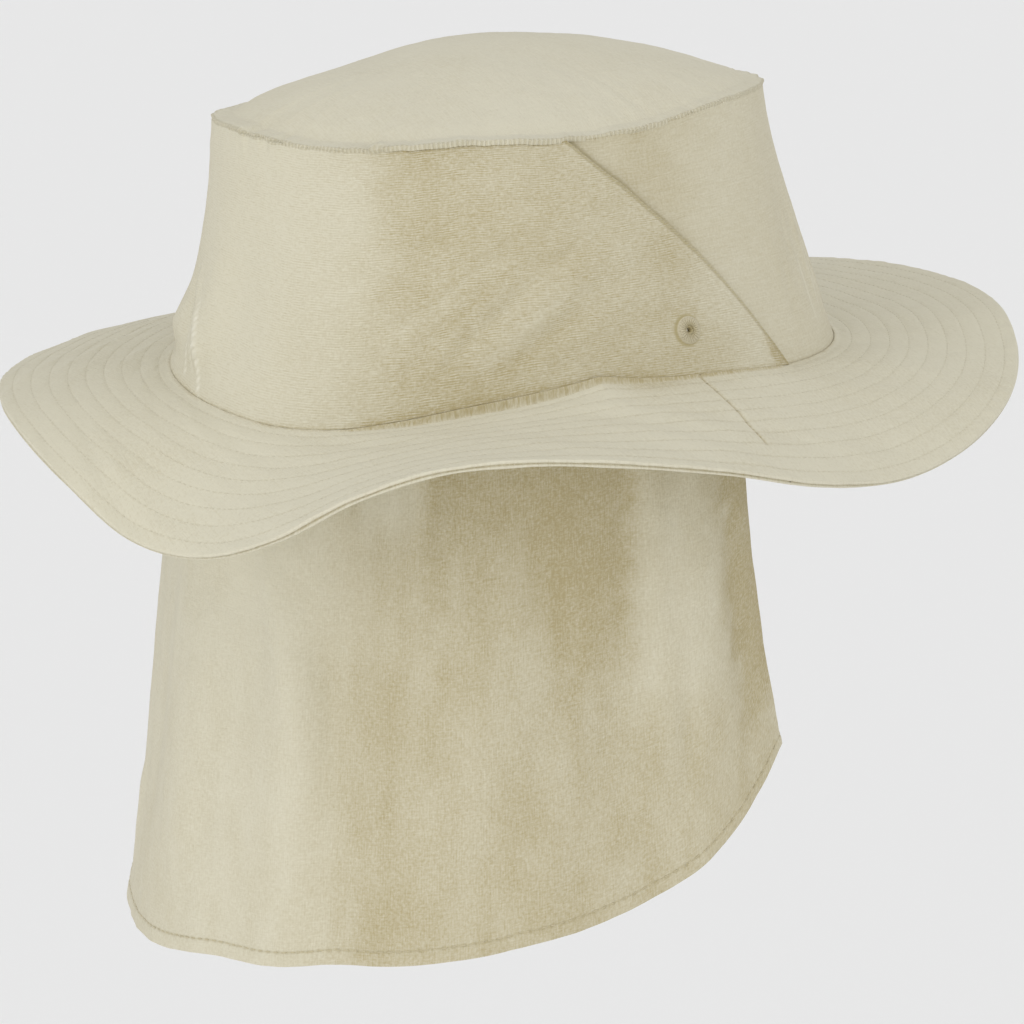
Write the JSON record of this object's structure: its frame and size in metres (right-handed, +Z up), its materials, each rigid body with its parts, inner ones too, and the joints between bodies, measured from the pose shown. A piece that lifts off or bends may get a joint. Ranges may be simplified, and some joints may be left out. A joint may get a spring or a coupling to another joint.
{
  "type": "surf hat with neck flap",
  "caption": "Soft cloth surf hat with a domed oval crown, a wide waving brim, side eyelets and a long neck flap hanging from inside the back of the brim.",
  "frame": {"origin": "centre of the head opening, at the height of the brim seam, where the hat sits on a head", "axes": "+Z up through the crown, -Y the front of the hat, +X the wearer's left"},
  "size_m": [0.2746, 0.3184, 0.2656],
  "materials": {
    "crown_cloth": "matte woven cloth, pale stone",
    "brim_cloth": "matte woven cloth, two stitched plies, pale stone",
    "flap_cloth": "matte woven cloth, pale stone",
    "thread": "satin-stitched thread, stone"
  },
  "bodies": {
    "root": {"crown_front_panel": "crown_cloth", "crown_back_panel": "crown_cloth", "crown_tip": "crown_cloth", "brim_front": "brim_cloth", "brim_back": "brim_cloth", "neck_flap": "flap_cloth", "eyelet_right": "thread", "eyelet_left": "thread"}
  },
  "joints": []
}
